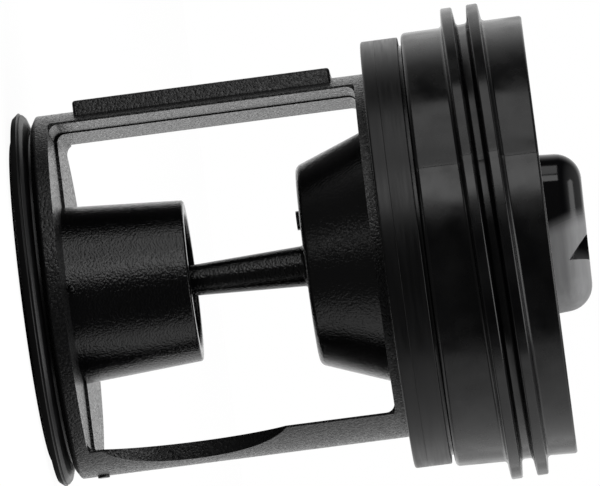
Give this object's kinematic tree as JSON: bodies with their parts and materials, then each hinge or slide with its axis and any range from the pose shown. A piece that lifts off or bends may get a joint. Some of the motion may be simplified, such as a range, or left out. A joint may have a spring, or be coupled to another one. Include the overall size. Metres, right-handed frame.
{
  "type": "lint filter",
  "caption": "Drain pump lint filter: a strainer cage with a guide tube and a lip ring, closed by a plug with a pin, a cone, a ribbed seal sleeve and a grip handle.",
  "frame": {"origin": "centre of the open end of the cage, on the surface the filter stands on", "axes": "+Z along the filter to the handle, -X to the keyed bar, +X to the waisted bar, Y through the windows"},
  "size_m": [0.064, 0.064, 0.0754],
  "materials": {
    "cage_plastic": "black polypropylene, finely sparked mould texture",
    "plug_plastic": "black polypropylene, smooth and semi-gloss",
    "lip_rubber": "black moulded rubber, satin",
    "sleeve_rubber": "black moulded rubber, smooth"
  },
  "bodies": {
    "root": {"filter_cage": "cage_plastic", "plug": "plug_plastic", "lip_ring": "lip_rubber", "seal_sleeve": "sleeve_rubber"}
  },
  "joints": []
}
